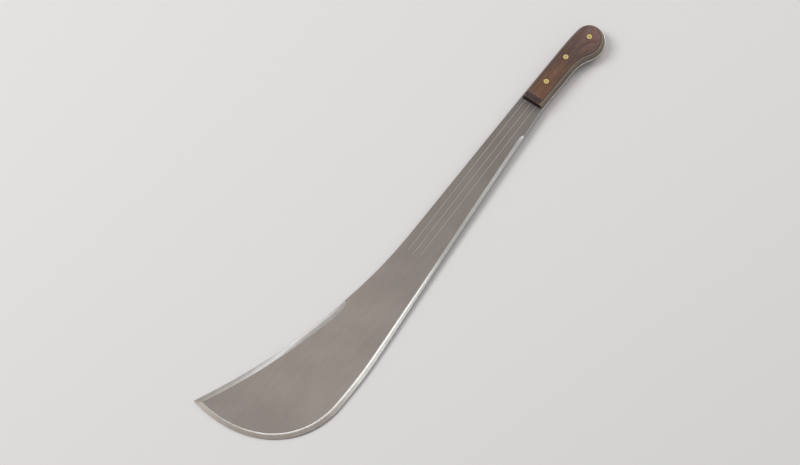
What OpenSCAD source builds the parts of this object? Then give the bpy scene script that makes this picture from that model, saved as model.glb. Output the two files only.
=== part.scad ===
// Machete with a three-groove blade, a full tang, two wooden scales and three riveted brass pins.
// It lies on its side: +X runs from the tip to the pommel, +Y to the spine, +Z out of the upper scale.

/* [Blade outline] */
// distance of the tip ahead of the scales
tip_ahead = 602.5; // [570:0.5:640]
// height of the tip over the middle of the grip
tip_rise = 94.4; // [82:0.1:106]
// distance ahead of the scales of the lowest point of the edge
nose_ahead = 503; // [485:1:520]
// depth of the lowest point of the edge under the middle of the grip
nose_drop = 60.5; // [56:0.5:66]
// slope of the long edge in degrees
edge_angle = 5.4; // [4.8:0.1:5.8]
// length of the long edge
edge_straight = 338; // [315:1:350]
// depth of the shallow hollow of the long edge
edge_hollow = 0.7; // [0:0.1:1.2]
// reach of the curve that leads from the long edge into the belly
belly_pull = 105; // [80:1:115]
// reach of the belly curve before its lowest point
nose_pull = 57; // [40:1:70]
// reach of the nose curve after its lowest point
rise_pull = 70; // [50:1:80]
// reach of the nose curve below the tip
front_pull = 97; // [80:1:110]
// direction of the edge at the tip in degrees
front_angle = 75.8; // [70:0.2:84]
// slope of the straight spine in degrees
spine_angle = 0.5; // [0:0.1:1]
// length of the straight spine
spine_straight = 240; // [215:1:255]
// reach of the spine curve after the straight
spine_pull = 64; // [50:1:90]
// reach of the spine curve below the tip
back_pull = 179; // [150:1:195]
// direction of the spine at the tip in degrees
back_angle = 25.2; // [21:0.2:28]

/* [Blade section] */
// thickness of the tang and of the blade beside the scales
blade_t = 3; // [2.6:0.1:3.6]
// thickness of the flat of the blade at the tip
tip_t = 2; // [1.6:0.1:2.4]
// thickness left at the ground edges
land_t = 0.5; // [0.3:0.1:0.8]
// edge break of the unground outline
break_w = 0.5; // [0.3:0.1:0.8]
// distance ahead of the scales at which the bevel starts
bevel_start = 45; // [36:1:56]
// length of the rounded start of the bevel
bevel_runout = 9; // [6:0.5:14]
// width of the bevel next to its start
bevel_heel = 4.4; // [3.5:0.1:6]
// distance ahead of the scales from which the bevel widens
bevel_widens = 270; // [240:1:330]
// width of the bevel at the lowest point of the edge
bevel_nose = 7.5; // [6:0.1:9]
// width of the bevel at the tip
bevel_tip = 5.5; // [4:0.1:7]
// distance ahead of the scales at which the back is ground
notch_ahead = 378; // [360:0.5:395]
// height of the unground spine over the ground back
notch_deep = 0.9; // [0.4:0.1:1.5]
// length over which the unground spine rises to the notch
notch_rise = 60; // [40:1:90]
// length of the step down at the notch
notch_len = 4; // [3:0.5:6]
// length of the rounded start of the back bevel
back_runout = 20; // [14:1:30]
// length over which the back bevel reaches its full depth
back_deepen = 70; // [40:1:100]
// full width of the back bevel
back_bevel = 7.3; // [5:0.1:8.5]
// width of the back bevel at the tip
back_tip = 6.4; // [4:0.1:7.5]

/* [Grooves] */
// width of each groove
groove_w = 3; // [2:0.1:4]
// depth of each groove
groove_deep = 0.45; // [0.3:0.05:0.7]
// height of the upper groove at the scales
upper_groove_y = 10.1; // [9:0.1:11]
// height of the middle groove at the scales
middle_groove_y = 1.1; // [0:0.1:2.5]
// height of the lower groove at the scales
lower_groove_y = -6.9; // [-8:0.1:-6]
// slope of the upper groove in degrees
upper_groove_angle = 1.43; // [1.2:0.01:1.6]
// slope of the middle groove in degrees
middle_groove_angle = 1.34; // [1.1:0.01:1.5]
// slope of the lower groove in degrees
lower_groove_angle = 1.61; // [1.4:0.01:1.9]
// length of the upper groove
upper_groove_len = 271; // [240:1:300]
// length of the middle groove
middle_groove_len = 274; // [240:1:300]
// length of the lower groove
lower_groove_len = 268; // [240:1:300]

/* [Handle] */
// length of the handle from the front of the scales to the pommel end
grip_len = 145.8; // [138:0.2:158]
// width of the tang along the grip
grip_w = 34.2; // [32:0.1:37]
// long diameter of the pommel
pommel_long = 50; // [48:0.2:53]
// short diameter of the pommel
pommel_short = 42.6; // [41:0.2:45]
// direction of the long diameter in degrees
pommel_lean = 32; // [24:1:40]
// depth of the pommel's top under the top of the grip
pommel_step = 1.4; // [1:0.1:1.8]
// distance behind the front of the scales at which the underside turns down
hollow_start = 70; // [64:1:76]
// radius with which the underside swells into the pommel
swell_r = 34; // [31:1:38]
// thickness of each scale
scale_t = 8; // [7:0.1:10]
// width of the steel rim left round the scales
rim_w = 1.4; // [0.6:0.1:2]
// lean of the sides of the scales in degrees
side_lean = 24; // [12:1:28]
// radius between the sides and the outer face of a scale
face_round = 3.5; // [2:0.1:4.5]
// height of the upright front wall of a scale
front_wall = 5.6; // [4:0.1:6.4]
// length over which the front of a scale rounds up to its outer face
front_run = 8; // [5:0.5:11]
// radius of the two front corners of a scale
corner_r = 3; // [2:0.1:5]

/* [Rivets] */
// distance of the front pin behind the front of the scales
front_pin_x = 34.5; // [28:0.5:42]
// distance of the middle pin behind the front of the scales
middle_pin_x = 80; // [70:0.5:88]
// distance of the rear pin behind the front of the scales
rear_pin_x = 123.5; // [117:0.5:127]
// height of the front pin over the middle of the grip
front_pin_y = 1.1; // [-2:0.1:3]
// height of the middle pin over the middle of the grip
middle_pin_y = 1.9; // [-2:0.1:3]
// height of the rear pin over the middle of the grip
rear_pin_y = -5.5; // [-8:0.1:-2]
// diameter of the pins
pin_d = 3.5; // [3:0.1:4]
// diameter of the peened ends of the pins
peen_d = 4.5; // [4.2:0.1:5]
// height of the peened ends of the pins
peen_h = 0.8; // [0.5:0.1:1]
// diameter of the washers
washer_d = 7; // [6.6:0.1:9]
// thickness of the washers
washer_t = 1.2; // [1:0.1:1.8]

/* [Hidden] */
$fn = 48;
// clearance round a pin in the wood and steel
pin_gap = 0.1;
// clearance between a pin and its washer
peen_gap = 0.05;
// clearance round a washer in its seat
washer_gap = 0.1;
half_t = blade_t/2;
face_z = half_t + scale_t;
half_w = grip_w/2;
land_z = land_t/2;
// steps along the pommel quarter, each hollow arc, the bevel start, and the curved outlines
pommel_steps = 24;
hollow_steps = 8;
runout_steps = 8;
shank_steps = 8;
straight_steps = 8;
belly_steps = 30;
nose_steps = 32;
spine_steps = 28;
back_steps = straight_steps + belly_steps + nose_steps - spine_steps - 1;
corner_steps = 6;
round_steps = 14;
// directions in which the pommel meets the top and the underside, in degrees
top_meet = 85;
low_meet = -65;

function heading(a) = [cos(a), sin(a)];
function length_of(v) = sqrt(v*v);
function unit(v) = v/length_of(v);
function mix(a, b, f) = a + (b - a)*max(0, min(1, f));
function left_of(v) = [-v[1], v[0]];
// Share of its width that a bevel has at a share f of its rounded start
function rounded(f) = sqrt(1 - pow(1 - min(1, f), 2));

// A cubic curve from point to point, and its direction
function curve(p, t) =
    pow(1 - t, 3)*p[0] + 3*pow(1 - t, 2)*t*p[1] + 3*(1 - t)*t*t*p[2] + pow(t, 3)*p[3];
function curve_way(p, t) =
    unit(pow(1 - t, 2)*(p[1] - p[0]) + 2*(1 - t)*t*(p[2] - p[1]) + t*t*(p[3] - p[2]));

// The pommel is an oval, given by the direction in which its outline faces
long_r = pommel_long/2;
short_r = pommel_short/2;
function oval_reach(a) = sqrt(pow(long_r*cos(a - pommel_lean), 2) + pow(short_r*sin(a - pommel_lean), 2));
function turn(v, a) = [v[0]*cos(a) - v[1]*sin(a), v[0]*sin(a) + v[1]*cos(a)];
pommel_c = [grip_len - oval_reach(0), half_w - pommel_step - oval_reach(90)];
function oval_at(a) =
    pommel_c + turn([long_r*long_r*cos(a - pommel_lean), short_r*short_r*sin(a - pommel_lean)]
        /oval_reach(a), pommel_lean);

// A wide arc joins the top of the grip to the pommel
top_join = oval_at(top_meet);
top_r = (half_w - top_join[1])/(1 - sin(top_meet));
top_x = top_join[0] - top_r*cos(top_meet);

// The underside turns down in a hollow arc and swells into the pommel in a second one
swell_c = oval_at(low_meet) - swell_r*heading(low_meet);
swell_x = swell_c[0] - hollow_start;
swell_y = swell_c[1] + half_w;
hollow_r = (swell_x*swell_x + swell_y*swell_y - swell_r*swell_r)/(2*(swell_r - swell_y));
hollow_turn = asin(swell_x/(swell_r + hollow_r));

// Outline of the grip from the pommel end to the front: pairs of a point and its outward direction
grip_under = concat(
    [for (i = [0:pommel_steps]) let (a = low_meet*i/pommel_steps) [oval_at(a), heading(a)]],
    [for (i = [1:hollow_steps]) let (a = mix(low_meet, -90 - hollow_turn, i/hollow_steps))
        [swell_c + swell_r*heading(a), heading(a)]],
    [for (i = [1:hollow_steps]) let (a = -90 - hollow_turn*(1 - i/hollow_steps))
        [[hollow_start, -half_w - hollow_r] - hollow_r*heading(a), heading(a)]]);
grip_top = concat(
    [for (i = [0:pommel_steps]) let (a = top_meet*i/pommel_steps) [oval_at(a), heading(a)]],
    [for (i = [1:hollow_steps]) let (a = mix(top_meet, 90, i/hollow_steps))
        [[top_x, half_w - top_r] + top_r*heading(a), heading(a)]],
    [for (i = [1:hollow_steps]) [[mix(top_x, hollow_start, i/hollow_steps), half_w], [0, 1]]]);

// Thickness of the blade flat: even along the tang, then thinning evenly to the tip
function flat_z(x) = x >= 0 ? half_t : mix(half_t, tip_t/2, -x/tip_ahead);

// Control points of the curves
tip = [-tip_ahead, tip_rise];
nose = [-nose_ahead, -nose_drop];
spine_0 = [-spine_straight, half_w - spine_straight*tan(spine_angle)];
spine_curve = [spine_0, spine_0 - spine_pull*heading(spine_angle),
    tip + back_pull*heading(-back_angle), tip];
edge_0 = [-edge_straight, -half_w - edge_straight*tan(edge_angle)];
edge_0_angle = atan(tan(edge_angle) + 4*edge_hollow/edge_straight);
belly_curve = [edge_0, edge_0 - belly_pull*heading(edge_0_angle), nose + [nose_pull, 0], nose];
nose_curve = [nose, nose - [rise_pull, 0], tip - front_pull*heading(front_angle), tip];

// The two bevels meet in a mitre at the tip
tip_angle = 180 - front_angle - back_angle;
mitre = tip + (bevel_tip*heading(-back_angle) - back_tip*heading(front_angle))/sin(tip_angle);
back_end = 1 - 1.3*(bevel_tip + back_tip*cos(tip_angle))/sin(tip_angle)/(3*back_pull);
front_end = 1 - 1.3*(back_tip + bevel_tip*cos(tip_angle))/sin(tip_angle)/(3*front_pull);

// A station holds a point, its outward direction, the bevel width there and how deep it is ground
function station(p, way, wide, ground) = [p, way, max(break_w, wide), ground];

// Width of the main bevel up to the nose, and how proud the unground spine stands
function edge_wide(x) = mix(bevel_heel, bevel_nose, (-x - bevel_widens)/(nose_ahead - bevel_widens));
function proud(x) = notch_deep*max(0, 1 - (x + notch_ahead)/notch_rise);

// Places of the stations along the part of the blade with a straight spine
runout_f = [for (i = [0:runout_steps]) 1 - cos(90*i/runout_steps)];
runout_x = [for (f = runout_f) -bevel_start - bevel_runout*f];
shank_x = concat([0], runout_x,
    [for (i = [1:shank_steps]) mix(-bevel_start - bevel_runout, -spine_straight, i/shank_steps)]);
shank_ground = concat([0], [for (f = runout_f) rounded(f)],
    [for (i = [1:shank_steps]) 1]);

// The straight spine, and the long edge with its shallow hollow
function spine_line(x) = [x, half_w + x*tan(spine_angle)];
function edge_line(x) =
    let (f = -x/edge_straight) [x, -half_w + x*tan(edge_angle) + 4*edge_hollow*f*(1 - f)];
function edge_way(x) =
    heading(atan(tan(edge_angle) - 4*edge_hollow/edge_straight*(1 + 2*x/edge_straight)) - 90);

// The spine curve is unground up to the notch and ground behind it
function t_where(x, from, to, rounds) =
    let (t = (from + to)/2)
    rounds == 0 ? t : curve(spine_curve, t)[0] > x ? t_where(x, t, to, rounds - 1)
        : t_where(x, from, t, rounds - 1);
notch_t = t_where(-notch_ahead, 0, 1, 24);
step_t = t_where(-notch_ahead - notch_len, 0, 1, 24);
function spine_out(t) = -left_of(curve_way(spine_curve, t));
function unground(t) =
    let (p = curve(spine_curve, t)) station(p + proud(p[0])*spine_out(t), spine_out(t), 0, 0);
function ground(t) =
    let (p = curve(spine_curve, t))
    let (past = -p[0] - notch_ahead)
    let (wide = mix(back_bevel, back_tip, pow(past/(tip_ahead - notch_ahead), 2)))
    station(p, spine_out(t), wide*rounded(past/back_runout), min(1, past/back_deepen));

spine_chain = concat(
    [for (s = grip_top) station(s[0], s[1], 0, 0)],
    [for (x = shank_x) station(spine_line(x), heading(spine_angle + 90), 0, 0)],
    [for (i = [1:spine_steps]) unground(notch_t*i/spine_steps)],
    [for (i = [0:back_steps]) ground(mix(step_t, back_end, i/back_steps))]);

edge_chain = concat(
    [for (s = grip_under) station(s[0], s[1], 0, 0)],
    [for (i = [0:len(shank_x) - 1])
        let (x = shank_x[i])
        station(edge_line(x), edge_way(x), edge_wide(x)*shank_ground[i], shank_ground[i])],
    [for (i = [1:straight_steps]) let (x = mix(-spine_straight, -edge_straight, i/straight_steps))
        station(edge_line(x), edge_way(x), edge_wide(x), 1)],
    [for (i = [1:belly_steps]) let (t = i/belly_steps) let (p = curve(belly_curve, t))
        station(p, left_of(curve_way(belly_curve, t)), edge_wide(p[0]), 1)],
    [for (i = [1:nose_steps]) let (t = front_end*i/nose_steps)
        station(curve(nose_curve, t), left_of(curve_way(nose_curve, t)),
            mix(bevel_nose, bevel_tip, t*t), 1)]);

// Half height of the outline at a station, and the inner line of its bevel
function rim_z(s) = mix(flat_z(s[0][0]) - break_w, land_z, s[3]);
function inner(s) = s[0] - s[2]*s[1];
function at(p, z) = [p[0], p[1], z];
function ring(s, e) =
    let (a = inner(s))
    let (b = inner(e))
    [at(s[0], rim_z(s)), at(s[0], -rim_z(s)), at(a, -flat_z(a[0])), at(b, -flat_z(b[0])),
        at(e[0], -rim_z(e)), at(e[0], rim_z(e)), at(b, flat_z(b[0])), at(a, flat_z(a[0]))];

ring_n = len(spine_chain);
end_in = inner(spine_chain[0]);
blade_points = concat(
    [at(spine_chain[0][0], half_t - break_w), at(spine_chain[0][0], break_w - half_t),
        at(end_in, -half_t), at(end_in, half_t)],
    [for (i = [1:ring_n - 1]) each ring(spine_chain[i], edge_chain[i])],
    [at(tip, land_z), at(tip, -land_z), at(mitre, -flat_z(mitre[0])), at(mitre, flat_z(mitre[0]))]);
// The eight places of a ring fall on four points at the pommel end and at the tip
shared = [0, 1, 2, 2, 1, 0, 3, 3];
function spot(i, j) =
    i == 0 ? shared[j%8] : i == ring_n ? 4 + 8*(ring_n - 1) + shared[j%8] : 4 + 8*(i - 1) + j%8;
function triangle(a, b, c) = a == b || b == c || a == c ? [] : [[a, b, c]];
function facets(a, b, c, d) = concat(triangle(a, b, c), triangle(a, c, d));
blade_faces = [for (i = [0:ring_n - 1]) for (j = [0:7])
    each facets(spot(i + 1, j), spot(i + 1, j + 1), spot(i, j + 1), spot(i, j))];

// The part stands on the middle of its lower side
min_x = min([for (p = blade_points) p[0]]);
max_x = max([for (p = blade_points) p[0]]);
min_y = min([for (p = blade_points) p[1]]);
max_y = max([for (p = blade_points) p[1]]);
shift = [-(min_x + max_x)/2, -(min_y + max_y)/2, face_z];

pins = [[front_pin_x, front_pin_y], [middle_pin_x, middle_pin_y], [rear_pin_x, rear_pin_y]];

// One groove: a round cutter laid along the flat, with a ball at each end, from the front of the scales
groove_r = (groove_w*groove_w/4 + groove_deep*groove_deep)/(2*groove_deep);
flat_slope = atan((half_t - tip_t/2)/tip_ahead);
module groove_cut(y, angle, len, side) {
    lift = groove_r - groove_deep;
    straight = len - groove_w/2;
    translate([0, y, side*(half_t + lift)])
        rotate([0, 0, 180 + angle])
            rotate([0, 90 + side*flat_slope, 0]) {
                cylinder(h = straight, r = groove_r);
                sphere(r = groove_r);
                translate([0, 0, straight]) sphere(r = groove_r);
            }
}

module blade() {
    color("#8f8a83")
    translate(shift)
    difference() {
        polyhedron(points = blade_points, faces = blade_faces, convexity = 6);
        for (side = [-1, 1]) {
            groove_cut(upper_groove_y, upper_groove_angle, upper_groove_len, side);
            groove_cut(middle_groove_y, middle_groove_angle, middle_groove_len, side);
            groove_cut(lower_groove_y, lower_groove_angle, lower_groove_len, side);
        }
        for (p = pins)
            translate([p[0], p[1], -blade_t]) cylinder(h = 2*blade_t, r = pin_d/2 + pin_gap);
    }
}

// How far the side and the front of a scale have come in at a height
round_h = scale_t - face_round;
round_in = face_round*cos(side_lean) + tan(side_lean)*(round_h + face_round*sin(side_lean));
function side_in(h) =
    h < round_h + face_round*sin(side_lean)
        ? h*tan(side_lean)
        : round_in - sqrt(max(0, face_round*face_round - pow(h - round_h, 2)));
function front_in(h) =
    front_run*(1 - sqrt(1 - pow(max(0, h - front_wall)/(scale_t - front_wall), 2)));
level_h = [for (i = [0:round_steps]) scale_t*sin(90*i/round_steps)];

// One level of a scale from the front along the top to the pommel end, and along the underside
function scale_line(chain, inset, ahead, up) =
    let (c = [ahead + corner_r, up*(half_w - inset - corner_r)])
    concat(
        [for (i = [0:corner_steps]) c + corner_r*heading(180 - up*90*i/corner_steps)],
        [for (i = [len(chain) - 1:-1:0]) chain[i][0] - inset*chain[i][1]]);
function scale_ring(h) =
    let (top = scale_line(grip_top, rim_w + side_in(h), front_in(h), 1))
    let (under = scale_line(grip_under, rim_w + side_in(h), front_in(h), -1))
    concat(top, [for (i = [len(under) - 2:-1:0]) under[i]]);

line_n = corner_steps + 1 + len(grip_top);
loop_n = 2*line_n - 1;
function scale_points(side) =
    [for (h = level_h) each [for (p = scale_ring(h)) [p[0], p[1], side*(half_t + h)]]];
function facing(f, side) = side > 0 ? f : [for (t = f) [t[2], t[1], t[0]]];
function strip(base, i) =
    facets(base + i, base + i + 1, base + (loop_n - 2 - i)%loop_n, base + (loop_n - 1 - i)%loop_n);
last = (len(level_h) - 1)*loop_n;
scale_faces = concat(
    [for (k = [0:len(level_h) - 2]) for (i = [0:loop_n - 1])
        each facets(k*loop_n + i, (k + 1)*loop_n + i, (k + 1)*loop_n + (i + 1)%loop_n,
            k*loop_n + (i + 1)%loop_n)],
    [for (i = [0:line_n - 2]) each strip(last, i)],
    [for (i = [0:line_n - 2]) each facing(strip(0, i), -1)]);

module scale_body(side) {
    color("#6b5140")
    translate(shift)
    difference() {
        polyhedron(points = scale_points(side), faces = facing(scale_faces, side), convexity = 6);
        for (p = pins) translate([p[0], p[1], 0]) {
            translate([0, 0, side > 0 ? 0 : -face_z - 1])
                cylinder(h = face_z + 1, r = pin_d/2 + pin_gap);
            translate([0, 0, side > 0 ? face_z - washer_t : -face_z - 1])
                cylinder(h = washer_t + 1, r = washer_d/2 + washer_gap);
        }
    }
}

// A pin with a cone at each end where it has been peened into its washers
module pin(p) {
    color("#b49a52")
    translate(shift + [p[0], p[1], 0])
        rotate_extrude()
            polygon([[0, -face_z], [peen_d/2, -face_z], [pin_d/2, peen_h - face_z],
                [pin_d/2, face_z - peen_h], [peen_d/2, face_z], [0, face_z]]);
}

module washer(p, side) {
    grow = peen_gap*(peen_d - pin_d)/2/peen_h;
    color("#c3ab68")
    translate(shift + [p[0], p[1], 0])
        rotate([side > 0 ? 0 : 180, 0, 0])
            rotate_extrude()
                polygon([[pin_d/2 + peen_gap, face_z - washer_t], [washer_d/2, face_z - washer_t],
                    [washer_d/2, face_z], [peen_d/2 + peen_gap + grow, face_z],
                    [pin_d/2 + peen_gap, face_z - peen_h - peen_gap]]);
}

module upper_scale() { scale_body(1); }
module lower_scale() { scale_body(-1); }
module front_pin() { pin(pins[0]); }
module middle_pin() { pin(pins[1]); }
module rear_pin() { pin(pins[2]); }
module front_upper_washer() { washer(pins[0], 1); }
module front_lower_washer() { washer(pins[0], -1); }
module middle_upper_washer() { washer(pins[1], 1); }
module middle_lower_washer() { washer(pins[1], -1); }
module rear_upper_washer() { washer(pins[2], 1); }
module rear_lower_washer() { washer(pins[2], -1); }

blade();
upper_scale();
lower_scale();
front_pin();
middle_pin();
rear_pin();
front_upper_washer();
front_lower_washer();
middle_upper_washer();
middle_lower_washer();
rear_upper_washer();
rear_lower_washer();
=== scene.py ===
"""Dresses the machete: blasted steel with ground bevels, dark wooden scales and brass rivets."""

from collections import namedtuple
from math import asin, atan, atan2, cos, degrees, radians, sin, sqrt, tan

import bmesh
import bpy
from mathutils import Matrix, Vector


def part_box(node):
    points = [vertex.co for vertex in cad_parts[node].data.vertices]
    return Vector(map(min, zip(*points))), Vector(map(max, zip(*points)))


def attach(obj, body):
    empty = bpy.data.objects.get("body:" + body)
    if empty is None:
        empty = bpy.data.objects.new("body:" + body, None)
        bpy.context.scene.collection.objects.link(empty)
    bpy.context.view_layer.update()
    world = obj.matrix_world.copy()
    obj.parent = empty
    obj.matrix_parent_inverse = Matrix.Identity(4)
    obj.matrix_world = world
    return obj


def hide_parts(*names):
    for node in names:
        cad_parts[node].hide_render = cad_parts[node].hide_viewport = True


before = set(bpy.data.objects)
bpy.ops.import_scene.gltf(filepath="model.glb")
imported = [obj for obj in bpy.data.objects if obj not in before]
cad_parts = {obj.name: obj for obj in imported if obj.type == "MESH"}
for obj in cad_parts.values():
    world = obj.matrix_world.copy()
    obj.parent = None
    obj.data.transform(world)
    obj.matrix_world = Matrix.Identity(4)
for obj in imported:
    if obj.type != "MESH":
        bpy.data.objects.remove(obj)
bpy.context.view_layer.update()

# Sizes shared with the part's source, in millimetres and degrees. The blade's own axes start at the
# front of the scales, in the middle of the grip and of the steel: X to the pommel, Y to the spine.

# Handle
GRIP_LEN = 145.8
GRIP_W = 34.2
HALF_W = GRIP_W/2
POMMEL_LONG = 50
POMMEL_SHORT = 42.6
POMMEL_LEAN = 32
POMMEL_STEP = 1.4
HOLLOW_START = 70
SWELL_R = 34
TOP_MEET = 85
LOW_MEET = -65
SCALE_T = 8
# Place of each pin
PINS = [(34.5, 1.1), (80, 1.9), (123.5, -5.5)]

# Outline of the blade
TIP_AHEAD = 602.5
TIP_RISE = 94.4
NOSE_AHEAD = 503
NOSE_DROP = 60.5
EDGE_ANGLE = 5.4
EDGE_STRAIGHT = 338
EDGE_HOLLOW = 0.7
BELLY_PULL = 105
NOSE_PULL = 57
RISE_PULL = 70
FRONT_PULL = 97
FRONT_ANGLE = 75.8
SPINE_ANGLE = 0.5
SPINE_STRAIGHT = 240
SPINE_PULL = 64
BACK_PULL = 179
BACK_ANGLE = 25.2

# Section of the blade
HALF_T = 1.5
TIP_HALF_T = 1.0
LAND_Z = 0.25
BEVEL_START = 45
BEVEL_RUNOUT = 9
BEVEL_HEEL = 4.4
BEVEL_WIDENS = 270
BEVEL_NOSE = 7.5
BEVEL_TIP = 5.5
NOTCH_AHEAD = 378
NOTCH_DEEP = 0.9
NOTCH_RISE = 60
NOTCH_LEN = 4
BACK_RUNOUT = 20
BACK_DEEPEN = 70
BACK_BEVEL = 7.3
BACK_TIP = 6.4
GROOVE_W = 3
GROOVE_DEEP = 0.45
# Height at the scales, slope and length of each groove
Groove = namedtuple("Groove", "height slope length")
GROOVES = [Groove(10.1, 1.43, 271), Groove(1.1, 1.34, 274), Groove(-6.9, 1.61, 268)]

# Softness that the solids leave out: the rounded edges of the steel, and the shoulders of the bevels,
# which are crisp along the heel and worn round from there to the tip
EDGE_ROUND = 0.9
CRISP_SHOULDER = 0.25
WORN_SHOULDER = 1.0
WORN_FROM = 235
WORN_FULL = 300
# The most that a shoulder takes of a bevel's width
SHOULDER_SHARE = 0.35
# Share of its full slope that the back bevel has at the notch
NOTCH_SLOPE = 0.6
# Slope at the soft lip of a groove, and how fast it steepens
LIP_SLOPE = 0.1
LIP_RISE = 1.6
# The first station of the blade lies this far under the scales, and the grooves run on to it
LAP = 1.5

# Numbers of steps along the outline
POMMEL_STEPS = 32
ARC_STEPS = 12
HEEL_STEPS = 8
RUNOUT_STEPS = 10
SHANK_STEPS = 28
SPINE_STEPS = 22
NOTCH_STEPS = 6
BACK_STEPS = 60
STRAIGHT_STEPS = 10
BELLY_STEPS = 36
NOSE_STEPS = 42
# The steps lie close together where the grooves end, from a little before till a little past the ends
BEFORE_ENDS = 4
PAST_ENDS = 2
ENDS_FROM = min(groove.length for groove in GROOVES) - BEFORE_ENDS
ENDS_TO = max(groove.length for groove in GROOVES) + PAST_ENDS
STEPS_PER_MM = 2
# The steps grow from the notch to the tip, and this holds their growth back near the tip
STEP_EASE = 0.6
# How far before the tip the last stations lie, as a multiple of the mitre's reach along each side
MITRE_SPARE = 1.3
# Halvings with which a place on a curve is found
HALVINGS = 40

# The photograph's view: the blade's turn in the picture, its tilt, and the scale of the picture
VIEW_TURN = radians(54.18)
VIEW_TILT = radians(29.3)
VIEW_DISTANCE = 6.0
VIEW_FAR = 100
METRES_PER_PIXEL = 0.001279
PICTURE_WIDTH = 800
SENSOR_WIDTH = 36
VIEW_CENTRE = Vector((-0.2553, 0.0265, 0.0))

MM = 0.001
FACE_Z = (HALF_T + SCALE_T)*MM
blade_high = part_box("blade")[1]
FRONT = Vector((blade_high.x - GRIP_LEN*MM, blade_high.y - TIP_RISE*MM, FACE_Z))


# Plane geometry

def heading(angle):
    """The direction at an angle in degrees."""
    return Vector((cos(radians(angle)), sin(radians(angle))))


def mix(a, b, f):
    """The value between a and b at a share f, which is kept between 0 and 1."""
    return a + (b - a)*max(0.0, min(1.0, f))


def steps(count, start=1):
    """The shares start/count to 1, one for each step."""
    return [i/count for i in range(start, count + 1)]


def left_of(v):
    return Vector((-v.y, v.x))


def curve(points, t):
    """A point of the cubic curve over four control points."""
    a, b, c, d = points
    return (1 - t)**3*a + 3*(1 - t)**2*t*b + 3*(1 - t)*t*t*c + t**3*d


def curve_way(points, t):
    """The direction of that curve."""
    a, b, c, d = points
    return ((1 - t)**2*(b - a) + 2*(1 - t)*t*(c - b) + t*t*(d - c)).normalized()


def curve_where(points, x):
    """The share of a curve at which it reaches x, on a curve that runs towards the tip."""
    early, late = 0.0, 1.0
    for _ in range(HALVINGS):
        t = (early + late)/2
        if curve(points, t).x > x:
            early = t
        else:
            late = t
    return t


# Outline of the grip: pairs of a point and its outward direction, from the pommel end to the front

def oval_reach(angle):
    """How far the pommel's oval reaches from its centre in a direction."""
    turned = radians(angle - POMMEL_LEAN)
    return sqrt((POMMEL_LONG/2*cos(turned))**2 + (POMMEL_SHORT/2*sin(turned))**2)


POMMEL_CENTRE = Vector((GRIP_LEN - oval_reach(0), HALF_W - POMMEL_STEP - oval_reach(90)))


def oval_at(angle):
    """The point of the pommel's oval where its outline faces the given way."""
    turned = radians(angle - POMMEL_LEAN)
    place = Vector(((POMMEL_LONG/2)**2*cos(turned), (POMMEL_SHORT/2)**2*sin(turned)))/oval_reach(angle)
    return POMMEL_CENTRE + Matrix.Rotation(radians(POMMEL_LEAN), 2)@place


def grip_under():
    """The underside: the pommel, the arc that swells into it, and the hollow in front of that."""
    swell = oval_at(LOW_MEET) - SWELL_R*heading(LOW_MEET)
    across, rise = swell.x - HOLLOW_START, swell.y + HALF_W
    hollow_r = (across**2 + rise**2 - SWELL_R**2)/(2*(SWELL_R - rise))
    hollow = Vector((HOLLOW_START, -HALF_W - hollow_r))
    turn = degrees(asin(across/(SWELL_R + hollow_r)))
    under = [(oval_at(LOW_MEET*f), heading(LOW_MEET*f)) for f in steps(POMMEL_STEPS, 0)]
    for f in steps(ARC_STEPS):
        way = heading(mix(LOW_MEET, -90 - turn, f))
        under.append((swell + SWELL_R*way, way))
    for f in steps(ARC_STEPS):
        way = heading(-90 - turn*(1 - f))
        under.append((hollow - hollow_r*way, way))
    return under


def grip_top():
    """The top, with as many points: the pommel, a wide arc, and a straight."""
    meet = oval_at(TOP_MEET)
    top_r = (HALF_W - meet.y)/(1 - heading(TOP_MEET).y)
    top_x = meet.x - top_r*heading(TOP_MEET).x
    top = [(oval_at(TOP_MEET*f), heading(TOP_MEET*f)) for f in steps(POMMEL_STEPS, 0)]
    for f in steps(ARC_STEPS):
        way = heading(mix(TOP_MEET, 90, f))
        top.append((Vector((top_x, HALF_W - top_r)) + top_r*way, way))
    for f in steps(ARC_STEPS):
        top.append((Vector((mix(top_x, HOLLOW_START, f), HALF_W)), heading(90)))
    return top


# Outline of the blade

TIP = Vector((-TIP_AHEAD, TIP_RISE))
NOSE = Vector((-NOSE_AHEAD, -NOSE_DROP))
SPINE_START = Vector((-SPINE_STRAIGHT, HALF_W - SPINE_STRAIGHT*tan(radians(SPINE_ANGLE))))
SPINE_CURVE = (SPINE_START, SPINE_START - SPINE_PULL*heading(SPINE_ANGLE),
               TIP + BACK_PULL*heading(-BACK_ANGLE), TIP)
BELLY_START = Vector((-EDGE_STRAIGHT, -HALF_W - EDGE_STRAIGHT*tan(radians(EDGE_ANGLE))))
BELLY_ANGLE = degrees(atan(tan(radians(EDGE_ANGLE)) + 4*EDGE_HOLLOW/EDGE_STRAIGHT))
BELLY_CURVE = (BELLY_START, BELLY_START - BELLY_PULL*heading(BELLY_ANGLE),
               NOSE + Vector((NOSE_PULL, 0)), NOSE)
NOSE_CURVE = (NOSE, NOSE - Vector((RISE_PULL, 0)), TIP - FRONT_PULL*heading(FRONT_ANGLE), TIP)

# The two bevels meet in a mitre at the tip, and the stations on both sides end before it
TIP_ANGLE = radians(180 - FRONT_ANGLE - BACK_ANGLE)
MITRE = TIP + (BEVEL_TIP*heading(-BACK_ANGLE) - BACK_TIP*heading(FRONT_ANGLE))/sin(TIP_ANGLE)
BACK_REACH = (BEVEL_TIP + BACK_TIP*cos(TIP_ANGLE))/sin(TIP_ANGLE)
FRONT_REACH = (BACK_TIP + BEVEL_TIP*cos(TIP_ANGLE))/sin(TIP_ANGLE)
BACK_END = 1 - MITRE_SPARE*BACK_REACH/(3*BACK_PULL)
FRONT_END = 1 - MITRE_SPARE*FRONT_REACH/(3*FRONT_PULL)

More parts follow.
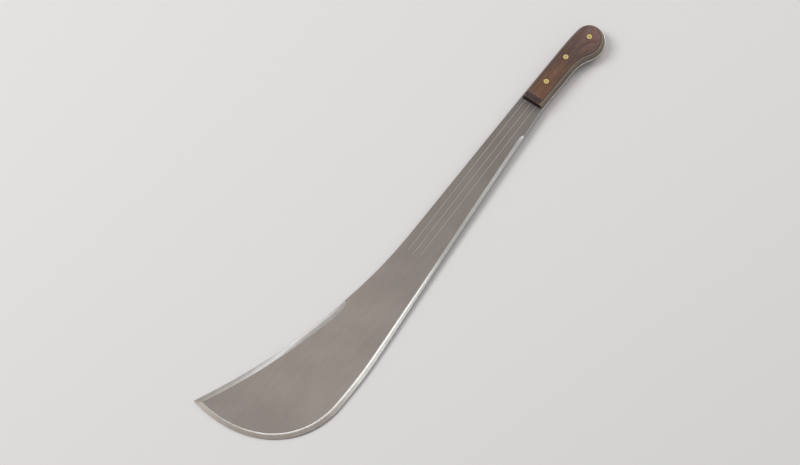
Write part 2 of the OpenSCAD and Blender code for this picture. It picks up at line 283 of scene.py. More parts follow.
# A station on the outline: its place and outward direction, the width and the slope of the bevel
# there, with no width where the steel isn't ground, and its distance along the outline
Station = namedtuple("Station", "place out wide slope along")


def flat_z(x):
    """Half the thickness of the steel, which thins evenly to the tip."""
    return mix(HALF_T, TIP_HALF_T, -x/TIP_AHEAD)


def bevel_slope(x, wide):
    return (flat_z(x) - LAND_Z)/wide


def rounded(f):
    """Share of its width that a bevel has at a share f of its rounded start."""
    return sqrt(1 - (1 - mix(0, 1, f))**2)


def edge_wide(x):
    """Width of the main bevel up to the nose."""
    return mix(BEVEL_HEEL, BEVEL_NOSE, (-x - BEVEL_WIDENS)/(NOSE_AHEAD - BEVEL_WIDENS))


def edge_at(x):
    """A station on the long edge, which bows in by a shallow hollow."""
    f = -x/EDGE_STRAIGHT
    place = Vector((x, -HALF_W + x*tan(radians(EDGE_ANGLE)) + 4*EDGE_HOLLOW*f*(1 - f)))
    lean = tan(radians(EDGE_ANGLE)) - 4*EDGE_HOLLOW/EDGE_STRAIGHT*(1 - 2*f)
    wide = edge_wide(x)
    share = rounded((-x - BEVEL_START)/BEVEL_RUNOUT)
    return place, heading(degrees(atan(lean)) - 90), wide*share, bevel_slope(x, wide)


def belly_at(t):
    """A station on the curve from the long edge to the lowest point of the nose."""
    place = curve(BELLY_CURVE, t)
    wide = edge_wide(place.x)
    return place, left_of(curve_way(BELLY_CURVE, t)), wide, bevel_slope(place.x, wide)


def nose_at(t):
    """A station on the curve from the lowest point of the nose to the tip."""
    place = curve(NOSE_CURVE, t)
    wide = mix(BEVEL_NOSE, BEVEL_TIP, t*t)
    return place, left_of(curve_way(NOSE_CURVE, t)), wide, bevel_slope(place.x, wide)


def spine_at(x):
    """A station on the unground spine, which stands proud in front of the notch."""
    if x > -SPINE_STRAIGHT:
        return Vector((x, HALF_W + x*tan(radians(SPINE_ANGLE)))), heading(SPINE_ANGLE + 90), 0, 0
    t = curve_where(SPINE_CURVE, x)
    out = -left_of(curve_way(SPINE_CURVE, t))
    proud = NOTCH_DEEP*max(0.0, 1 - (x + NOTCH_AHEAD)/NOTCH_RISE)
    return curve(SPINE_CURVE, t) + proud*out, out, 0, 0


def back_at(t, proud=0.0):
    """A station on the ground back behind the notch."""
    place = curve(SPINE_CURVE, t)
    out = -left_of(curve_way(SPINE_CURVE, t))
    past = -place.x - NOTCH_AHEAD
    wide = mix(BACK_BEVEL, BACK_TIP, (past/(TIP_AHEAD - NOTCH_AHEAD))**2)
    slope = mix(NOTCH_SLOPE, 1, past/BACK_DEEPEN)*bevel_slope(place.x, wide)
    return place + proud*out, out, wide*rounded(past/BACK_RUNOUT), slope


def shared_places():
    """Places of the stations from the scales to the ends of the grooves, the same on both sides."""
    heel = [mix(LAP, -BEVEL_START, f) for f in steps(HEEL_STEPS, 0)]
    runout = [-BEVEL_START - BEVEL_RUNOUT*(1 - cos(radians(90*f))) for f in steps(RUNOUT_STEPS)]
    shank = [mix(-BEVEL_START - BEVEL_RUNOUT, -ENDS_FROM, f) for f in steps(SHANK_STEPS)]
    ends = [mix(-ENDS_FROM, -ENDS_TO, f) for f in steps(STEPS_PER_MM*(ENDS_TO - ENDS_FROM))]
    return heel + runout + shank + ends


def spine_to_tip():
    """The stations along the spine past the grooves, with the notch and the ground back."""
    notch = curve_where(SPINE_CURVE, -NOTCH_AHEAD)
    step_end = curve_where(SPINE_CURVE, -NOTCH_AHEAD - NOTCH_LEN)
    unground = [spine_at(mix(-ENDS_TO, -NOTCH_AHEAD, f)) for f in steps(SPINE_STEPS)]
    step = [back_at(mix(notch, step_end, f), NOTCH_DEEP*(1 - f)**2) for f in steps(NOTCH_STEPS)]
    growing = [f*f*(1 + STEP_EASE*(1 - f)) for f in steps(BACK_STEPS)]
    return unground + step + [back_at(mix(step_end, BACK_END, f)) for f in growing]


def edge_to_tip():
    """As many stations along the edge past the grooves, with the belly and the nose."""
    straight = [edge_at(mix(-ENDS_TO, -EDGE_STRAIGHT, f)) for f in steps(STRAIGHT_STEPS)]
    belly = [belly_at(t) for t in steps(BELLY_STEPS)]
    return straight + belly + [nose_at(FRONT_END*f) for f in steps(NOSE_STEPS)]


def measured(chain):
    """The stations of a chain with their distances along it."""
    along = 0.0
    stations = []
    for i, parts in enumerate(chain):
        if i:
            along += (parts[0] - chain[i - 1][0]).length
        stations.append(Station(*parts, along))
    return stations


def outline_stations():
    """Matching stations along the spine side and the edge side, from the pommel end to the tip."""
    spine = [(place, out, 0, 0) for place, out in grip_top()]
    edge = [(place, out, 0, 0) for place, out in grip_under()]
    for x in shared_places():
        spine.append(spine_at(x))
        edge.append(edge_at(x))
    return measured(spine + spine_to_tip()), measured(edge + edge_to_tip())


# The blade's mesh

# A point on a face of the blade: its place in the plane, its height, its distances along the outline
# and in from it, and its shares of the way across the border and of the depth of a groove
Point = namedtuple("Point", "place height grind share")

# The blade's faces, in the order of their materials
FLAT, GROUND_EDGE, GROUND_BACK, RIM, SIDE = range(5)

# Places of the points across a bevel: evenly up to its shoulder, and then across the shoulder
SLOPE_STEPS = 3
SHOULDER_MARKS = (-0.5, 0, 0.5, 1)
BORDER = SLOPE_STEPS + 1 + len(SHOULDER_MARKS)
# The bevel's finish covers all but the last column of faces between them, and starts where the bevel
# is this wide
GROUND_COLUMNS = BORDER - 2
GROUND_FROM = 1.2
# Places of the points across a groove, as shares of half its width
GROOVE_MARKS = (-1.3, -1, -0.8, -0.6, -0.3, 0, 0.3, 0.6, 0.8, 1, 1.3)
# Faces that meet at more than this many degrees keep a sharp edge between them
SHARP_ANGLE = 32
# Points closer than this, in metres, become one
MERGE_DISTANCE = 1e-6
# Less than the distance between two stations
NEARLY = 0.1


def bevel_section(station):
    """Distance in from the outline and height of each point across a rounded or ground border."""
    flat = flat_z(station.place.x)
    round_r = min(EDGE_ROUND, flat - LAND_Z)
    wide = station.wide
    worn = (-station.place.x - WORN_FROM)/(WORN_FULL - WORN_FROM)
    soft = min(mix(CRISP_SHOULDER, WORN_SHOULDER, worn), SHOULDER_SHARE*wide)
    marks = [f*(wide - soft) for f in steps(SLOPE_STEPS, 0)]
    marks += [wide + f*soft for f in SHOULDER_MARKS]
    section = []
    for i, mark in enumerate(marks):
        arc = round_r*(1 - cos(radians(90*i/(BORDER - 1))))
        inward = mix(arc, mark, wide/(2*round_r))
        height = flat - round_r + sqrt(round_r**2 - max(0.0, round_r - inward)**2)
        if inward < wide - soft:
            height = min(height, flat - station.slope*(wide - inward))
        elif inward < wide + soft:
            height = min(height, flat - station.slope*(wide + soft - inward)**2/(4*soft))
        section.append((inward, height))
    return section


def border_points(station):
    """The points of a rounded or ground border, from the outline inwards."""
    across = station.wide or EDGE_ROUND
    points = []
    for inward, height in bevel_section(station):
        place = station.place - inward*station.out
        points.append(Point(place, height, (station.along, inward), (inward/across, 0)))
    return points


def groove_y(groove, x):
    """Height of the middle of a groove."""
    return groove.height + x*tan(radians(groove.slope))


def groove_depth(x, y):
    """Depth of the groove at a point of the flat, round across and at its end, with soft lips."""
    deepest = 0.0
    for groove in GROOVES:
        across = (y - groove_y(groove, x))/(GROOVE_W/2)
        past = max(0.0, (-x - groove.length + GROOVE_W/2)/(GROOVE_W/2))
        inside = max(0.0, 1 - across**2 - past**2)
        lip = LIP_RISE*inside*inside + LIP_SLOPE*inside
        deepest = max(deepest, GROOVE_DEEP*min(inside, lip))
    return deepest


def flat_shares(x, high, low):
    """Shares of the way across the flat at which the lines of points run, close at the grooves."""
    marks = [groove_y(groove, x) - mark*GROOVE_W/2 for groove in GROOVES for mark in GROOVE_MARKS]
    return [(high - y)/(high - low) for y in marks]


def flat_points(high, low, shares, grooved):
    """The points of the flat between its two borders."""
    points = []
    for share in shares:
        place = high.lerp(low, share)
        depth = groove_depth(*place) if grooved else 0
        points.append(Point(place, flat_z(place.x) - depth, tuple(place), (1, depth/GROOVE_DEEP)))
    return points


def blade_rings():
    """Rows of points across the blade from the spine to the edge, and the stations on both sides."""
    spine, edge = outline_stations()
    rings = []
    shares = flat_shares(0, HALF_W, -HALF_W)
    for back, front in zip(spine, edge):
        x = back.place.x
        border_back, border_front = border_points(back), border_points(front)
        high, low = border_back[-1].place, border_front[-1].place
        if 0 >= x >= -ENDS_TO - NEARLY:
            shares = flat_shares(x, high.y, low.y)
        flat = flat_points(high, low, shares, x <= LAP)
        rings.append(border_back + flat + border_front[::-1])
    # The last row runs from the tip to the mitre and back
    slope = bevel_slope(TIP.x, BEVEL_TIP)
    tip = border_points(Station(TIP, (TIP - MITRE)/BEVEL_TIP, BEVEL_TIP, slope, edge[-1].along))
    rings.append(tip + [tip[-1]]*len(shares) + tip[::-1])
    return rings, spine, edge


def face_material(column, last, ground_back, ground_edge):
    """The material of the faces in a column, of which the last lies along the edge."""
    if column < GROUND_COLUMNS:
        return GROUND_BACK if ground_back else RIM
    if column > last - GROUND_COLUMNS:
        return GROUND_EDGE if ground_edge else RIM
    return FLAT


def blade_mesh(materials):
    """The blade as one closed mesh, whose two faces mirror each other.

    Each corner of a face carries the marks of its point: the layer grind holds its distances along
    and across in metres, and the layer share its two shares.
    """
    rings, spine, edge = blade_rings()
    mesh = bmesh.new()
    grind = mesh.loops.layers.uv.new("grind")
    share = mesh.loops.layers.uv.new("share")
    loops = []
    for ring in rings:
        upper = [mesh.verts.new(FRONT + MM*Vector((*point.place, point.height))) for point in ring]
        lower = [mesh.verts.new(FRONT + MM*Vector((*point.place, -point.height))) for point in ring]
        loops.append((upper, lower))

    def face(corners, points, material):
        made = mesh.faces.new(corners)
        made.material_index = material
        for loop, point in zip(made.loops, points):
            loop[grind].uv = MM*Vector(point.grind)
            loop[share].uv = point.share

    last = len(rings[0]) - 2
    for i in range(len(rings) - 1):
        ground = [chain[min(i + 1, len(chain) - 1)].wide > GROUND_FROM for chain in (spine, edge)]
        for j in range(last + 1):
            material = face_material(j, last, *ground)
            points = [rings[i][j], rings[i][j + 1], rings[i + 1][j + 1], rings[i + 1][j]]
            for side, order in ((0, 1), (1, -1)):
                a, b = loops[i][side], loops[i + 1][side]
                face([a[j], a[j + 1], b[j + 1], b[j]][::order], points[::order], material)
        # The narrow faces of the spine and of the edge join the upper and the lower side
        for j, finish, order, is_ground in zip((0, -1), (GROUND_BACK, GROUND_EDGE), (1, -1), ground):
            upper, lower = [(loops[i + 1][side][j], loops[i][side][j]) for side in (0, 1)]
            corners = [upper[0], lower[0], lower[1], upper[1]]
            face(corners[::order], [rings[i][j]]*4, finish if is_ground else SIDE)
    bmesh.ops.remove_doubles(mesh, verts=mesh.verts, dist=MERGE_DISTANCE)
    bmesh.ops.recalc_face_normals(mesh, faces=mesh.faces)
    data = bpy.data.meshes.new("dressed_blade")
    mesh.to_mesh(data)
    mesh.free()
    for material in materials:
        data.materials.append(material)
    data.shade_smooth()
    data.set_sharp_from_angle(angle=radians(SHARP_ANGLE))
    return data


def add_piece(name, data, node):
    """A piece of the part that stands for a node."""
    piece = bpy.data.objects.new(name, data)
    bpy.context.scene.collection.objects.link(piece)
    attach(piece, "root")
    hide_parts(node)


# Nodes of the materials

def new_material(name):
    """A material with an empty node tree, and its tree."""
    material = bpy.data.materials.new(name)
    material.use_nodes = True
    material.node_tree.nodes.clear()
    return material, material.node_tree


def add(tree, kind, inputs=None, **settings):
    """A node of a kind, with its settings and its inputs, each a value or the output of another node."""
    node = tree.nodes.new(kind)
    for key, value in settings.items():
        setattr(node, key, value)
    for key, value in (inputs or {}).items():
        if isinstance(value, bpy.types.NodeSocket):
            tree.links.new(value, node.inputs[key])
        else:
            node.inputs[key].default_value = value
    return node


def calc(tree, operation, a, b=0.0, c=0.0):
    """The result of a sum or another operation on values."""
    return add(tree, "ShaderNodeMath", {0: a, 1: b, 2: c}, operation=operation).outputs[0]


def blend(tree, factor, a, b, how="MIX"):
    """A colour between a and b, or the colour a changed by b in another way."""
    return add(tree, "ShaderNodeMix", {0: factor, 6: a, 7: b}, data_type="RGBA", blend_type=how).outputs[2]


def times(tree, colour, factor):
    """A colour made brighter or darker."""
    return blend(tree, 1.0, colour, factor, "MULTIPLY")


def spread(tree, factor, low, high):
    """A value from 0 to 1 as factor goes from low to high."""
    return add(tree, "ShaderNodeMapRange", {0: factor, 1: low, 2: high}).outputs[0]


def grey(value):
    return (value, value, value, 1.0)


def tint(red, green, blue):
    return (red, green, blue, 1.0)


def ramp(tree, factor, stops):
    """A colour that changes evenly between stops, each a place and a colour."""
    node = add(tree, "ShaderNodeValToRGB", {"Fac": factor})
    elements = node.color_ramp.elements
    while len(elements) < len(stops):
        elements.new(0.5)
    while len(elements) > len(stops):
        elements.remove(elements[-1])
    for element, (place, colour) in zip(elements, stops):
        element.position = place
        element.color = colour
    return node.outputs["Color"]


def level(tree, factor, stops):
    """A value that changes evenly between stops, each a place and a value."""
    shade = ramp(tree, factor, [(place, grey(value)) for place, value in stops])
    return add(tree, "ShaderNodeSeparateColor", {0: shade}).outputs[0]


# The values between which most of a noise lies
NOISE_LOW = 0.35
NOISE_HIGH = 0.65


def noise(tree, vector, scale=1.0, detail=3.0, roughness=0.5):
    inputs = {"Vector": vector, "Scale": scale, "Detail": detail, "Roughness": roughness}
    return add(tree, "ShaderNodeTexNoise", inputs).outputs["Fac"]


def mottle(tree, colour, pattern, dark, light):
    """A colour made darker and brighter by a noise."""
    return times(tree, colour, ramp(tree, pattern, [(NOISE_LOW, grey(dark)), (NOISE_HIGH, grey(light))]))


def join_axes(tree, x, y, z=0.0):
    return add(tree, "ShaderNodeCombineXYZ", {0: x, 1: y, 2: z}).outputs[0]


def axes_of(tree, vector):
    return add(tree, "ShaderNodeSeparateXYZ", {0: vector}).outputs


def place_in(tree, scale=(1, 1, 1), turn=0.0):
    """The place in the part in metres, multiplied by scale and then turned about Z."""
    place = add(tree, "ShaderNodeTexCoord").outputs["Object"]
    settings = {"Vector": place, "Rotation": (0, 0, turn), "Scale": scale}
    return add(tree, "ShaderNodeMapping", settings).outputs[0]


def in_part(tree):
    """The place in the part as separate X, Y and Z, in millimetres along the blade's own axes."""
    place = add(tree, "ShaderNodeTexCoord").outputs["Object"]
    moved = add(tree, "ShaderNodeVectorMath", {0: place, 1: FRONT}, operation="SUBTRACT").outputs[0]
    scaled = add(tree, "ShaderNodeVectorMath", {0: moved, "Scale": 1/MM}, operation="SCALE").outputs[0]
    return axes_of(tree, scaled)


def marks_in(tree, layer):
    """The two marks of a layer: distances along and across, or shares of a border and a groove."""
    return axes_of(tree, add(tree, "ShaderNodeUVMap", uv_map=layer).outputs[0])


def grind_in(tree, scale, turn):
    """The place along and across a ground border in metres, turned and then multiplied by scale."""
    place = add(tree, "ShaderNodeUVMap", uv_map="grind").outputs[0]
    turned = add(tree, "ShaderNodeMapping", {"Vector": place, "Rotation": (0, 0, turn)}).outputs[0]
    return add(tree, "ShaderNodeMapping", {"Vector": turned, "Scale": scale}).outputs[0]


def finish_material(tree, colour, roughness, bumps, depth, metallic):
    """The shader of a material, with bumps of a depth in metres, and its output."""
    bump = add(tree, "ShaderNodeBump", {"Height": bumps, "Strength": 1.0, "Distance": depth})
    inputs = {"Base Color": colour, "Roughness": roughness, "Metallic": metallic,
              "Normal": bump.outputs[0]}
    shader = add(tree, "ShaderNodeBsdfPrincipled", inputs)
    add(tree, "ShaderNodeOutputMaterial", {0: shader.outputs[0]})
    return shader


# Finish of the steel. Each place is a share of the way from the scales to the tip: the flats are
# darker and bluer at the handle, and the bevels' colours are the ground steel's tone with painted
# reflections.
FLAT_COLOURS = [(0.0, tint(0.78, 0.81, 0.82)), (0.35, grey(0.94)), (0.52, grey(1.1)),
                (0.82, grey(1.15)), (1.0, grey(1.03))]
# The edge bevel's tone, brightened and darkened along the blade by painted reflections
EDGE_TONE_AND_REFLECTIONS = [(0.2, tint(0.57, 0.55, 0.53)), (0.35, tint(0.43, 0.41, 0.39)),
                (0.47, tint(0.43, 0.42, 0.405)), (0.76, tint(0.6, 0.58, 0.55)),
                (0.87, tint(0.37, 0.333, 0.305)), (1.0, tint(0.455, 0.4, 0.354))]
# The back bevel's tone, with a painted reflection as a bright patch
BACK_TONE_AND_REFLECTIONS = [(0.64, tint(0.53, 0.5, 0.47)), (0.7, tint(0.66, 0.63, 0.6)),
                (0.745, tint(0.96, 0.95, 0.93)), (0.8, tint(0.77, 0.75, 0.72)),
                (0.85, tint(0.58, 0.55, 0.52)), (0.95, tint(0.43, 0.4, 0.37))]
# Where a painted highlight runs across each bevel, and its strength
EDGE_HIGHLIGHT_PLACES = [(0.45, 0.66), (0.6, 0.76), (0.79, 0.8), (0.87, 0.91), (1.0, 0.9)]
EDGE_HIGHLIGHT_STRENGTHS = [(0.41, 0.0), (0.48, 0.5), (0.78, 0.55), (0.86, 1.0)]
BACK_HIGHLIGHT_PLACES = [(0.0, 0.2)]
BACK_HIGHLIGHT_STRENGTHS = [(0.62, 0.4), (0.72, 0.4), (0.8, 0.0)]
# Distances from the middle of the painted highlight at which it has faded and at which it has its full
# strength, as shares of the bevel's width
HIGHLIGHT_REACH = (0.18, 0.08)
# Colour of the painted highlight
SHOULDER_HIGHLIGHT = tint(0.98, 0.94, 0.9)
# Roughness of the ground steel, and how much smoother it is on the painted highlight
GROUND_ROUGHNESS = 0.3
HIGHLIGHT_SMOOTHER = 0.15
# How far back the borders of the colours and painted reflections lean on the back bevel, in millimetres
# for each one across
BACK_SLANT = 9
BLASTED_DARK = tint(0.27, 0.237, 0.216)
BLASTED_LIGHT = tint(0.315, 0.279, 0.255)
# Values of the noise between which one turns into the other
CLOUD_REACH = (0.3, 0.7)
# Painted highlight along the bottoms of the grooves, and the shares of the depth between which it sets in
GROOVE_HIGHLIGHT = tint(0.39, 0.35, 0.315)
GROOVE_HIGHLIGHT_REACH = (0.65, 0.95)


def blasted_steel():
    """Matte, faintly mottled grey with a fine grain, with a painted highlight along the bottoms of the
    grooves.
    """
    material, tree = new_material("blasted_steel")
    place = place_in(tree)
    cloud = spread(tree, noise(tree, place, scale=16, detail=4.0), *CLOUD_REACH)
    colour = blend(tree, cloud, BLASTED_DARK, BLASTED_LIGHT)
    streaks = noise(tree, place_in(tree, scale=(25, 190, 190), turn=0.5))
    colour = mottle(tree, colour, streaks, 0.95, 1.0)
    ahead = calc(tree, "MULTIPLY", in_part(tree)[0], -1/TIP_AHEAD)
    colour = times(tree, colour, ramp(tree, ahead, FLAT_COLOURS))
    groove_highlight = spread(tree, marks_in(tree, "share")[1], *GROOVE_HIGHLIGHT_REACH)
    colour = blend(tree, groove_highlight, colour, GROOVE_HIGHLIGHT)
    grain = noise(tree, place, scale=1600, detail=2.0)
    finish_material(tree, colour, roughness=0.6, bumps=grain, depth=0.03*MM, metallic=1.0)
    return material


def ground_steel(name, slant, colours, highlight_places, highlight_strengths):
    """Bright steel with slanting marks of the grinding wheel, painted reflections, and a painted highlight
    along it.

    The colours with their painted reflections, the highlight's places across the bevel and its strengths
    are stops on the way to the tip.
    """
    material, tree = new_material(name)
    across = marks_in(tree, "grind")[1]
    ahead = calc(tree, "MULTIPLY", in_part(tree)[0], -1.0)
    ahead = calc(tree, "MULTIPLY_ADD", across, -slant/MM, ahead)
    ahead = calc(tree, "MULTIPLY", ahead, 1/TIP_AHEAD)
    share = calc(tree, "SUBTRACT", marks_in(tree, "share")[0], level(tree, ahead, highlight_places))
    line = spread(tree, calc(tree, "ABSOLUTE", share), *HIGHLIGHT_REACH)
    line = calc(tree, "MULTIPLY", line, level(tree, ahead, highlight_strengths))
    colour = blend(tree, line, ramp(tree, ahead, colours), SHOULDER_HIGHLIGHT)
    marks = noise(tree, grind_in(tree, scale=(1800, 120, 1), turn=0.6), roughness=0.6)
    waves = noise(tree, grind_in(tree, scale=(90, 20, 1), turn=0.4), detail=2.0)
    worn = calc(tree, "MULTIPLY_ADD", marks, 0.5, calc(tree, "MULTIPLY", waves, 0.5))
    colour = mottle(tree, colour, worn, 0.86, 1.0)
    roughness = calc(tree, "MULTIPLY_ADD", line, -HIGHLIGHT_SMOOTHER, GROUND_ROUGHNESS)
    finish_material(tree, colour, roughness, bumps=marks, depth=0.02*MM, metallic=1.0)
    return material


def border_steel(name, dark, light):
    """The rounded borders of the spine and the tang, painted bright as a highlight, or their narrow sides,
    painted dark as shade.
    """
    material, tree = new_material(name)
    place = place_in(tree)
    colour = blend(tree, noise(tree, place, scale=260), dark, light)
    grain = noise(tree, place, scale=1200, detail=2.0)
    finish_material(tree, colour, roughness=0.38, bumps=grain, depth=0.03*MM, metallic=1.0)
    return material


# Finish of the wood. Each place is a share of the way from the front of the scales to the pommel.
WOOD_COLOURS = [(0.06, tint(0.19, 0.094, 0.05)), (0.3, tint(0.16, 0.081, 0.048)),
                (0.6, tint(0.11, 0.064, 0.051)), (0.85, tint(0.175, 0.1, 0.083)),
                (1.0, tint(0.18, 0.105, 0.087))]
# Painted light on the side of the scales towards the edge, from the steel up to the outer face
LIT_SIDE_COLOURS = [(0.2, tint(0.07, 0.052, 0.045)), (0.32, tint(0.28, 0.225, 0.18)),
                (0.45, tint(0.19, 0.15, 0.12)), (0.7, tint(0.21, 0.165, 0.13)),
                (0.82, tint(0.4, 0.32, 0.25)), (0.93, tint(0.1, 0.07, 0.055))]
# Purple and golden patches, and the blotches of the dark front, which is partly painted shade
PATCH_COLOURS = [(NOISE_LOW, tint(0.86, 0.91, 1.1)), (NOISE_HIGH, tint(1.05, 1.01, 0.88))]
FRONT_COLOURS = [(0.4, tint(0.024, 0.013, 0.014)), (0.6, tint(0.075, 0.048, 0.044))]
# The stain round each rivet, and the painted shade along the side towards the spine: colour, strength,
# and the radii or heights in millimetres between which it sets in
RIVET_STAIN = tint(0.04, 0.024, 0.012)
RIVET_STAINED = 0.45
RIVET_REACH = (5.6, 4.0)
SPINE_SHADE = tint(0.055, 0.04, 0.04)
SPINE_SHADED = 0.7
SPINE_SHADE_REACH = (7.0, 15.0)
# The dark front, partly darker wood and partly painted shade: its strength, the places between which it
# sets in, and how far the patches shift them
FRONT_DARK_AND_SHADE = 0.9
FRONT_FADES = (14.5, 12.0)
RAGGED_BY = 9.0
# Its worn border: colour, strength, place, and the distances from there between which it sets in
BORDER_COLOUR = tint(0.17, 0.13, 0.11)
BORDER_WORN = 0.6
BORDER_PLACE = 13.4
BORDER_REACH = (1.3, 0.4)
# Painted shade: the upright wall at the front is painted nearly black
WALL_SHADE = tint(0.006, 0.004, 0.004)
# How squarely a face has to turn to the edge or to the front to be painted as the lit side or as the
# shaded wall
LIT_SIDE_FACING = (0.12, 0.3)
SHADED_WALL_FACING = (0.45, 0.8)
# The grain follows the hollow under the pommel, and is this much longer than it is wide
GRAIN_BEND = 0.005
GRAIN_STRETCH = 20


def bent_grain(tree, x, y, z):
    """The place in the wood's grain, which runs along the handle and bends under the pommel."""
    past = calc(tree, "MAXIMUM", calc(tree, "SUBTRACT", x, HOLLOW_START), 0.0)
    under = spread(tree, y, 0.0, -HALF_W)
    bend = calc(tree, "MULTIPLY", calc(tree, "POWER", past, 2.0), under)
    bent = calc(tree, "MULTIPLY_ADD", bend, GRAIN_BEND, y)
    return join_axes(tree, calc(tree, "MULTIPLY", x, 1/GRAIN_STRETCH), bent, z)


def stained_and_shaded(tree, colour, x, y):
    """A colour darkened by stains round the rivets, and by painted shade along the side towards the spine.
    """
    for pin in PINS:
        ends = {0: join_axes(tree, x, y), 1: (*pin, 0)}
        away = add(tree, "ShaderNodeVectorMath", ends, operation="DISTANCE").outputs["Value"]
        ring = calc(tree, "MULTIPLY", spread(tree, away, *RIVET_REACH), RIVET_STAINED)
        colour = blend(tree, ring, colour, RIVET_STAIN)
    spine_shade = calc(tree, "MULTIPLY", spread(tree, y, *SPINE_SHADE_REACH), SPINE_SHADED)
    return blend(tree, spine_shade, colour, SPINE_SHADE)


def dark_and_shaded_front(tree, colour, x, place, patches):
    """A colour darkened at the rounded front, partly as darker wood and partly as painted shade, up to a
    ragged, worn border.
    """
    ragged = calc(tree, "MULTIPLY_ADD", patches, RAGGED_BY, x)
    front = calc(tree, "MULTIPLY", spread(tree, ragged, *FRONT_FADES), FRONT_DARK_AND_SHADE)
    blotched = ramp(tree, noise(tree, place, scale=0.4), FRONT_COLOURS)
    colour = blend(tree, front, colour, blotched)
    away = calc(tree, "ABSOLUTE", calc(tree, "SUBTRACT", ragged, BORDER_PLACE))
    border = calc(tree, "MULTIPLY", spread(tree, away, *BORDER_REACH), BORDER_WORN)
    return blend(tree, border, colour, BORDER_COLOUR)


def walnut():
    """Dark oiled wood: golden brown at the front, redder to the pommel, near black round the front, partly
    as painted shade.
    """
    material, tree = new_material("handle_wood")
    x, y, z = in_part(tree)
    place = join_axes(tree, x, y, z)
    patches = noise(tree, place, scale=0.16)
    grain = bent_grain(tree, x, y, z)
    bands = noise(tree, grain, scale=0.25, roughness=0.6)
    fibres = noise(tree, grain, scale=0.9, detail=2.0, roughness=0.6)
    colour = ramp(tree, calc(tree, "MULTIPLY", x, 1/GRIP_LEN), WOOD_COLOURS)
    colour = mottle(tree, colour, bands, 0.74, 1.14)
    colour = mottle(tree, colour, fibres, 0.78, 1.12)
    colour = times(tree, colour, ramp(tree, patches, PATCH_COLOURS))
    colour = stained_and_shaded(tree, colour, x, y)
    colour = dark_and_shaded_front(tree, colour, x, place, patches)
    # Painted light: the side towards the edge is painted paler, with a streak of painted shade and a
    # painted highlight along its top
    normal = axes_of(tree, add(tree, "ShaderNodeTexCoord").outputs["Normal"])
    height = calc(tree, "MULTIPLY", calc(tree, "ABSOLUTE", z), 1/(HALF_T + SCALE_T))
    side = mottle(tree, ramp(tree, height, LIT_SIDE_COLOURS), fibres, 0.75, 1.15)
    to_edge = calc(tree, "MULTIPLY", normal[1], -1.0)
    colour = blend(tree, spread(tree, to_edge, *LIT_SIDE_FACING), colour, side)
    # The upright wall at the front is painted nearly black as shade
    to_front = calc(tree, "MULTIPLY", normal[0], -1.0)
    colour = blend(tree, spread(tree, to_front, *SHADED_WALL_FACING), colour, WALL_SHADE)
    shader = finish_material(tree, colour, roughness=0.5, bumps=fibres, depth=0.1*MM, metallic=0.0)
    shader.inputs["Specular IOR Level"].default_value = 0.25
    return material


def brass(name, colour):
    """Brass sanded flush, with fine darker specks."""
    material, tree = new_material(name)
    place = place_in(tree)
    darker = tint(*(0.75*c for c in colour[:3]))
    shade = blend(tree, noise(tree, place, scale=900), colour, darker)
    grain = noise(tree, place, scale=2500, detail=2.0)
    finish_material(tree, shade, roughness=0.5, bumps=grain, depth=0.04*MM, metallic=1.0)
    return material


def dress(node, material):
    """Gives a material to a node that shows its own solid."""
    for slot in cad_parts[node].material_slots:
        slot.material = material


blade_data = blade_mesh([
    blasted_steel(),
    ground_steel("edge_bevel", 0, EDGE_TONE_AND_REFLECTIONS, EDGE_HIGHLIGHT_PLACES, EDGE_HIGHLIGHT_STRENGTHS),
    ground_steel("back_bevel", BACK_SLANT, BACK_TONE_AND_REFLECTIONS, BACK_HIGHLIGHT_PLACES, BACK_HIGHLIGHT_STRENGTHS),
    # The rounded borders are painted bright as a highlight, and the narrow sides dark as shade
    border_steel("rim", dark=tint(0.55, 0.52, 0.49), light=tint(0.78, 0.75, 0.72)),
    border_steel("side", dark=tint(0.17, 0.16, 0.15), light=tint(0.26, 0.25, 0.24))])
add_piece("dressed_blade", blade_data, "blade")
wood = walnut()
pin_brass = brass("pin_brass", tint(0.66, 0.51, 0.22))
washer_brass = brass("washer_brass", tint(0.95, 0.74, 0.32))
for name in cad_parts:
    if name.endswith("scale"):
        dress(name, wood)
    elif name.endswith("pin"):
        dress(name, pin_brass)
    elif name.endswith("washer"):
        dress(name, washer_brass)


# Floor, light and camera

FLOOR_SIZE = 12
FLOOR_COLOUR = tint(0.72, 0.7, 0.69)
WORLD_STRENGTH = 0.42
# Each lamp's name, its direction from the middle of the machete, its distance and size in metres, and
# its watts. The window and the side lamp light the whole machete, and each box is a weak lamp that a
# stretch of the bevels mirrors.
LAMPS = [
    ("window", (-0.27, 0.65, 0.8), 4.0, 2.0, 87),
    ("side", (0.9, -0.1, 0.4), 4.0, 2.2, 49),
    ("edge_box", (0.365, -0.055, 1.0), 2.4, 0.5, 1.6),
    ("heel_box", (0.365, -0.303, 1.08), 2.4, 0.5, 1.6),
    ("belly_box", (0.3, 0.166, 0.956), 2.4, 0.35, 0.15),
    ("nose_box", (0.202, 0.246, 0.974), 2.4, 0.35, 0.85),
    ("back_box", (0.365, 0.563, 0.796), 2.4, 0.5, 0.6),
]


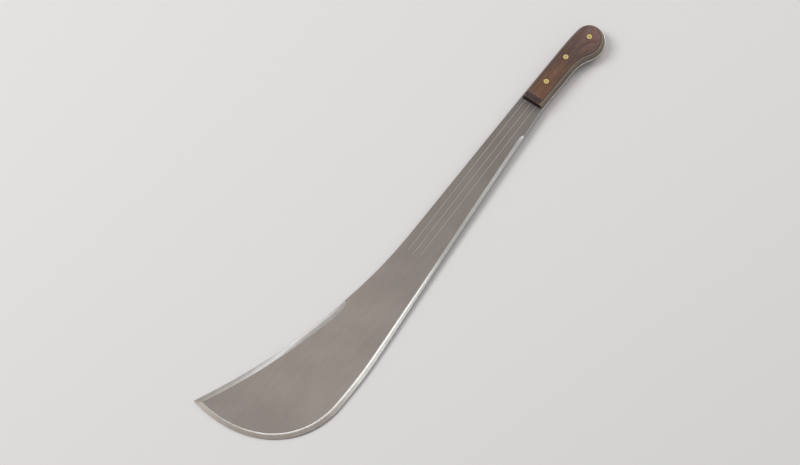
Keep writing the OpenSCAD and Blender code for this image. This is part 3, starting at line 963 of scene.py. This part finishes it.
def make_floor():
    """The floor touches the front edge of the lower scale and the tip, on which the machete rests."""
    material, tree = new_material("floor")
    shader = add(tree, "ShaderNodeBsdfDiffuse", {"Color": FLOOR_COLOUR})
    add(tree, "ShaderNodeOutputMaterial", {0: shader.outputs[0]})
    bpy.ops.mesh.primitive_plane_add(size=FLOOR_SIZE)
    floor = bpy.context.object
    floor.name = "floor"
    floor.location = (FRONT.x, 0, 0)
    floor.rotation_euler = (0, atan2(FACE_Z - TIP_HALF_T*MM, TIP_AHEAD*MM), 0)
    floor.data.materials.append(material)


def area_light(name, way, distance, size, watts):
    """A square lamp seen from the middle of the machete in the given direction."""
    data = bpy.data.lights.new(name, "AREA")
    data.size = size
    data.energy = watts
    lamp = bpy.data.objects.new(name, data)
    lamp.location = FRONT + VIEW_CENTRE + distance*Vector(way).normalized()
    lamp.rotation_euler = Vector(way).to_track_quat("Z", "Y").to_euler()
    bpy.context.scene.collection.objects.link(lamp)


def make_world():
    """An even white light from all around."""
    world = bpy.data.worlds.new("studio")
    world.use_nodes = True
    background = world.node_tree.nodes["Background"]
    background.inputs["Color"].default_value = grey(1)
    background.inputs["Strength"].default_value = WORLD_STRENGTH
    bpy.context.scene.world = world


def make_camera():
    """The camera looks at the tilted blade as in the photograph, from far off through a long lens."""
    right = Vector((cos(VIEW_TURN), -sin(VIEW_TURN), 0))
    up = Vector((sin(VIEW_TURN)*cos(VIEW_TILT), cos(VIEW_TURN)*cos(VIEW_TILT), sin(VIEW_TILT)))
    back = right.cross(up)
    data = bpy.data.cameras.new("camera")
    data.sensor_width = SENSOR_WIDTH
    data.lens = data.sensor_width*VIEW_DISTANCE/METRES_PER_PIXEL/PICTURE_WIDTH
    data.clip_end = VIEW_FAR
    camera = bpy.data.objects.new("camera", data)
    spin = Matrix((right, up, back)).transposed().to_4x4()
    camera.matrix_world = Matrix.Translation(FRONT + VIEW_CENTRE + VIEW_DISTANCE*back)@spin
    bpy.context.scene.collection.objects.link(camera)
    bpy.context.scene.camera = camera


make_floor()
for lamp in LAMPS:
    area_light(*lamp)
make_world()
make_camera()
bpy.context.scene.view_settings.view_transform = "Standard"
